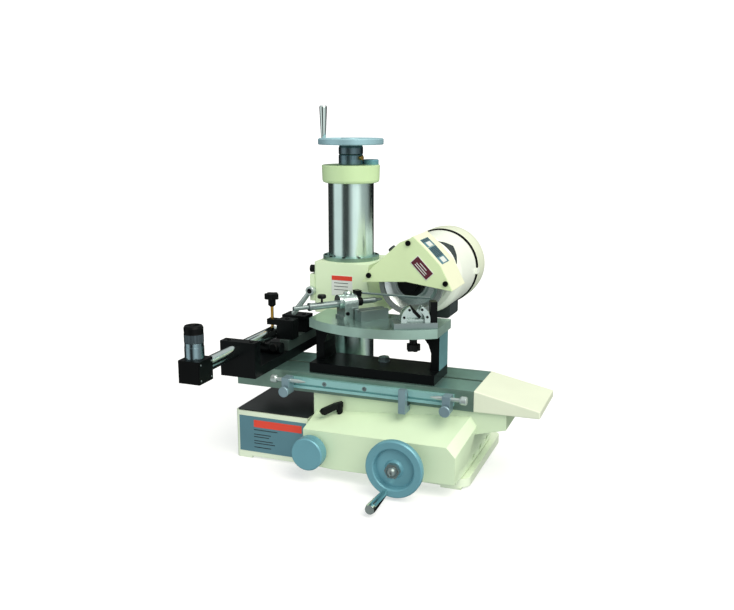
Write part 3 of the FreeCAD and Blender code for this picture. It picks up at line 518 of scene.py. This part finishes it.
def tag_panel(name, along, across, centre, start, thick, key):
    """Rectangle on the guard's front, laid along the tag."""
    corners = []
    for u, v in ((-1, -1), (1, -1), (1, 1), (-1, 1)):
        corners.append(Vector(TAG) + TAG_LONG * (centre[0] + u * along) + TAG_SHORT * (centre[1] + v * across))
    mesh = extruded(name, corners, lambda a, b, t: (a, guard_front - start - t, b), thick)
    add_piece(name, mesh, "head", key, thick * 0.3)


tag_panel("guard_tag_border", 0.0222, 0.0102, (0, 0), 0.0, 0.0006, "white_print")
tag_panel("guard_tag", 0.0211, 0.0091, (0, 0), 0.0006, 0.0003, "maroon_print")
for i, (row, half) in enumerate(((0.0035, 0.009), (-0.0012, 0.014), (-0.0050, 0.014))):
    tag_panel("guard_tag_line_%d" % i, half, 0.0007, (0, row), 0.0009, 0.0001, "white_print")


# Data plates on the guard's slanted band.
def band_panel(name, start, end, y0, y1, lift, thick, key):
    """Plate on the slanted band between two points of its XZ outline."""
    a = Vector(start)
    b = Vector(end)
    out = Vector((a.y - b.y, b.x - a.x)).normalized()
    if out.y < 0:
        out = -out
    corners = ((0, y0), (1, y0), (1, y1), (0, y1))

    def place(u, y, t):
        p = a.lerp(b, u) + out * (lift + t)
        return (p.x, y, p.y)

    add_piece(name, extruded(name, corners, place, thick), "head", key, thick * 0.3)


# Two plates end to end along the band: a ruled blue-grey field, then a white square, twice.
BAND_POINTS = (Vector((0.0905, 0.4315)), Vector((0.115, 0.410)), Vector((0.1435, 0.3805)))
PLATE_Y = (-0.0145, 0.0310)


def on_band(distance):
    """Point at a distance along the band's outline from its upper corner."""
    first = (BAND_POINTS[1] - BAND_POINTS[0]).length
    if distance < first:
        return BAND_POINTS[0].lerp(BAND_POINTS[1], distance / first)
    along = (BAND_POINTS[2] - BAND_POINTS[1]).normalized()
    return BAND_POINTS[1] + along * (distance - first)


FIRST_RUN = (BAND_POINTS[1] - BAND_POINTS[0]).length
for label, start, end in (("upper", 0.0125, FIRST_RUN - 0.0003), ("lower", FIRST_RUN + 0.0006, 0.0730)):
    def spot(share):
        return on_band(start + (end - start) * share)

    front, back = PLATE_Y
    band_panel("data_plate_" + label, spot(0), spot(1), front, back, 0.0, 0.0006, "plate_print")
    square = (0.45, 0.98) if label == "upper" else (0.66, 0.95)
    band_panel("data_block_" + label, spot(square[0]), spot(square[1]), front + 0.011, back - 0.010,
               0.0006, 0.0002, "white_print")
    for i in range(6):
        low = front + 0.003 + 0.0072 * i
        band_panel("data_rule_%s_%d" % (label, i), spot(0.05), spot(square[0] - 0.06),
                   low, low + 0.0036, 0.0006, 0.0002, "dark_print")

# Motor: black ring in the groove, painted shade for the shaded gap before the rear cover; dark cover on the
# flank, filler cap behind the guard.
MOTOR_X = 0.078
MOTOR_Z = 0.340
MOTOR_R = 0.076
MOTOR_SHOULDER_Y = 0.090
# The black ring stands in for the shade in the gap between motor body and rear cover: painted shade.
gap_shade_outline = [(0.0745, 0.1958), (0.0789, 0.1958), (0.0789, 0.2029), (0.0745, 0.2029)]
gap_shade_ring = lathe("motor_gap_shade", gap_shade_outline, (MOTOR_X, 0, MOTOR_Z), (0, 1, 0), True, 128)
add_piece("motor_gap_shade", gap_shade_ring, "head", "black_plastic")


def flank_cover():
    """Three-sided patch lying on the motor's rounded flank."""
    # Corners as (degrees round the motor, distance along it).
    corners = (Vector((67.5, 0.080)), Vector((48.7, 0.110)), Vector((22.5, 0.074)))
    steps = 14
    lift = 0.0006

    def on_motor(p):
        """Point above the barrel, which narrows towards its front end."""
        r = MOTOR_R - max(0.0, MOTOR_SHOULDER_Y - p.y) / 0.014 * 0.002 + lift
        a = math.radians(p.x)
        return (MOTOR_X + r * math.cos(a), p.y, MOTOR_Z + r * math.sin(a))

    bm = bmesh.new()
    grid = {}
    for i in range(steps + 1):
        for j in range(steps + 1 - i):
            u, v = i / steps, j / steps
            p = corners[0] * (1 - u - v) + corners[1] * u + corners[2] * v
            grid[i, j] = bm.verts.new(on_motor(p))
    for i in range(steps):
        for j in range(steps - i):
            bm.faces.new((grid[i, j], grid[i + 1, j], grid[i, j + 1]))
            if i + j < steps - 1:
                bm.faces.new((grid[i + 1, j], grid[i + 1, j + 1], grid[i, j + 1]))
    mesh = mesh_of(bm, "motor_flank_cover")
    obj = add_piece("motor_flank_cover", mesh, "head", "cast_iron")
    body = obj.modifiers.new("thickness", "SOLIDIFY")
    body.thickness = 0.0012
    body.offset = -1
    return obj


flank_cover()
cap_profile = [(0.0045, -0.004), (0.0045, 0.004), (0.0075, 0.0045), (0.0078, 0.0105),
               (0.0066, 0.0125), (0.003, 0.0128)]
cap = lathe("filler_cap", cap_profile, (0.0330, 0.040, 0.3895), (-0.678, 0, 0.735))
add_piece("filler_cap", cap, "head", "cast_iron")

# Fixture: black collar on the tube, black socket in the clamp lever's hub.
DRILL_TIP = Vector((0.026, -0.012, 0.3077))
DRILL_ANGLE = math.radians(50)
drill_dir = Vector((math.cos(DRILL_ANGLE), math.sin(DRILL_ANGLE), 0))
collar = [(0.00545, -0.0070), (0.0076, -0.0070), (0.0082, -0.0055), (0.0082, 0.0055),
          (0.0076, 0.0070), (0.00545, 0.0070)]
collar_mesh = lathe("tube_collar", collar, DRILL_TIP - drill_dir * 0.052, drill_dir, True)
add_piece("tube_collar", collar_mesh, "drill_tube", "black_steel")
socket = [(0.0050, 0.0), (0.0050, 0.0002), (0.0044, 0.0004), (0.0036, 0.0003), (0.0030, 0.0001)]
socket_mesh = lathe("lever_socket", socket, (-0.127, -0.0100, 0.311), (0, -1, 0))
add_piece("lever_socket", socket_mesh, "clamp_lever", "black_steel")

# Cap of the column: the grey button beside the dial.
cap_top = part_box("column_cap")[1][2]
button = [(0.0150, -0.001), (0.0155, 0.0005), (0.0155, 0.0085), (0.0145, 0.0098), (0.011, 0.0098),
          (0.010, 0.0090)]
button_mesh = lathe("cap_button", button, (-0.0375, 0.092, cap_top), (0, 0, 1))
add_piece("cap_button", button_mesh, "base", "blue_grey")

# Boss round the traverse knob's shaft.
knob_low, knob_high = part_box("table_knob")
saddle_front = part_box("saddle")[0][1]
boss = [(0.0125, 0.0003), (0.0255, 0.0003), (0.0248, -0.0042), (0.0125, -0.0042)]
knob_centre = (knob_low[0] + knob_high[0]) / 2
boss_mesh = lathe("knob_boss", boss, (knob_centre, saddle_front, 0.0553), (0, 1, 0), True)
add_piece("knob_boss", boss_mesh, "saddle", "blue_grey")

# Small screws of the prism box and of the arm.
prism_low, prism_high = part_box("prism_box")
count = 0
for y in (prism_low[1] + 0.0055, prism_high[1] - 0.0055):
    for z in (prism_low[2] + 0.006, prism_high[2] - 0.006):
        button_screw("prism_screw_%d" % count, (prism_high[0] - 0.0002, y, z), (1, 0, 0), 0.0016,
                     "scope", "steel")
        count += 1
blocks_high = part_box("arm_blocks")[1][2]
button_screw("clamp_cap_screw", (-0.165, -0.032, blocks_high - 0.0002), (0, 0, 1), 0.0042, "table")
rear_height = blocks_high - 0.0042
for x in (-0.180, -0.160):
    name = "rear_cap_screw_%d" % round(-x * 1000)
    button_screw(name, (x, 0.033, rear_height), (0, 0, 1), 0.0038, "table")
arm_top = arm_low[2] + 0.0659
for x in (arm_low[0] + 0.013, arm_high[0] - 0.012):
    name = "arm_cap_screw_%d" % round(-x * 1000)
    button_screw(name, (x, -0.179, arm_top), (0, 0, 1), 0.0036, "table")


# ---- studio -------------------------------------------------------------------------
def make_world():
    """White room whose reflections carry soft vertical bands of light and dark."""
    world = bpy.data.worlds.new("studio")
    bpy.context.scene.world = world
    world.use_nodes = True
    tree = world.node_tree
    tree.nodes.clear()
    new = tree.nodes.new
    coords = new("ShaderNodeTexCoord")
    split = new("ShaderNodeSeparateXYZ")
    tree.links.new(coords.outputs["Generated"], split.inputs["Vector"])
    angle = new("ShaderNodeMath")
    angle.operation = "ARCTAN2"
    tree.links.new(split.outputs["Y"], angle.inputs[0])
    tree.links.new(split.outputs["X"], angle.inputs[1])
    turn = new("ShaderNodeMapRange")
    turn.inputs["From Min"].default_value = -math.pi
    turn.inputs["From Max"].default_value = math.pi
    tree.links.new(angle.outputs[0], turn.inputs["Value"])
    bands = new("ShaderNodeValToRGB")
    stops = (
        (0.00, 0.03), (0.03, 0.14), (0.06, 0.85), (0.165, 0.85), (0.20, 0.08), (0.23, 0.03),
        (0.27, 0.04), (0.345, 0.92), (0.41, 0.97), (0.47, 0.50), (0.56, 0.34), (0.60, 0.14),
        (0.63, 0.01), (0.80, 0.01), (0.84, 0.03), (1.00, 0.03),
    )
    ramp = bands.color_ramp
    while len(ramp.elements) < len(stops):
        ramp.elements.new(0.5)
    for element, (position, level) in zip(ramp.elements, stops):
        element.position = position
        element.color = (level * 0.95, level, level * 0.99, 1)
    tree.links.new(turn.outputs["Result"], bands.inputs["Fac"])
    height = new("ShaderNodeValToRGB")
    height.color_ramp.elements[0].position = 0.62
    height.color_ramp.elements[0].color = (0, 0, 0, 1)
    height.color_ramp.elements[1].position = 0.74
    height.color_ramp.elements[1].color = (1, 1, 1, 1)
    raised = new("ShaderNodeMapRange")
    raised.inputs["From Min"].default_value = -1.0
    tree.links.new(split.outputs["Z"], raised.inputs["Value"])
    tree.links.new(raised.outputs["Result"], height.inputs["Fac"])
    blend = new("ShaderNodeMixRGB")
    blend.inputs["Color2"].default_value = (0.62, 0.64, 0.63, 1)
    tree.links.new(height.outputs["Color"], blend.inputs["Fac"])
    tree.links.new(bands.outputs["Color"], blend.inputs["Color1"])
    path = new("ShaderNodeLightPath")
    reflect = new("ShaderNodeBackground")
    tree.links.new(blend.outputs["Color"], reflect.inputs["Color"])
    ambient = new("ShaderNodeBackground")
    ambient.inputs["Color"].default_value = (0.96, 1.0, 0.99, 1)
    ambient.inputs["Strength"].default_value = 0.78
    plain = new("ShaderNodeBackground")
    plain.inputs["Strength"].default_value = 1.5
    by_gloss = new("ShaderNodeMixShader")
    by_camera = new("ShaderNodeMixShader")
    out = new("ShaderNodeOutputWorld")
    tree.links.new(path.outputs["Is Glossy Ray"], by_gloss.inputs["Fac"])
    tree.links.new(ambient.outputs[0], by_gloss.inputs[1])
    tree.links.new(reflect.outputs[0], by_gloss.inputs[2])
    tree.links.new(path.outputs["Is Camera Ray"], by_camera.inputs["Fac"])
    tree.links.new(by_gloss.outputs[0], by_camera.inputs[1])
    tree.links.new(plain.outputs[0], by_camera.inputs[2])
    tree.links.new(by_camera.outputs[0], out.inputs["Surface"])


make_world()
sun_data = bpy.data.lights.new("soft_key", "SUN")
sun_data.energy = 2.3
sun_data.color = (1.0, 0.94, 0.84)
sun_data.angle = math.radians(45)
sun = bpy.data.objects.new("soft_key", sun_data)
sun.rotation_euler = Vector((-0.55, 0.34, -0.77)).to_track_quat("-Z", "Y").to_euler()
bpy.context.scene.collection.objects.link(sun)

floor_mesh = bpy.data.meshes.new("floor")
floor_mesh.from_pydata([(-6, -6, 0), (6, -6, 0), (6, 6, 0), (-6, 6, 0)], [], [(0, 1, 2, 3)])
floor = bpy.data.objects.new("floor", floor_mesh)
floor_look = Graph("pale_floor")
floor_look.link(
    floor_look.ramp(floor_look.noise(floor_look.coords, 3.0),
                    [(0.2, (0.52, 0.52, 0.52, 1)), (0.8, (0.55, 0.55, 0.55, 1))]),
    floor_look.shader.inputs["Base Color"],
)
floor_look.set(Roughness=0.9, Specular_IOR_Level=0.05, Emission_Color=(1, 1, 1, 1),
               Emission_Strength=0.5)
floor_mesh.materials.append(floor_look.material)
bpy.context.scene.collection.objects.link(floor)
floor.visible_glossy = False
floor.visible_diffuse = False

# ---- camera -------------------------------------------------------------------------
camera_data = bpy.data.cameras.new("camera")
camera_data.sensor_width = 36.0
camera_data.lens = 42.8
camera_data.clip_end = 50.0
camera = bpy.data.objects.new("camera", camera_data)
camera.location = (0.584, -1.531, 0.644)
camera.rotation_euler = (math.radians(90 - 12.15), 0, math.radians(21.2))
bpy.context.scene.collection.objects.link(camera)
bpy.context.scene.camera = camera
bpy.context.scene.view_settings.view_transform = "Standard"
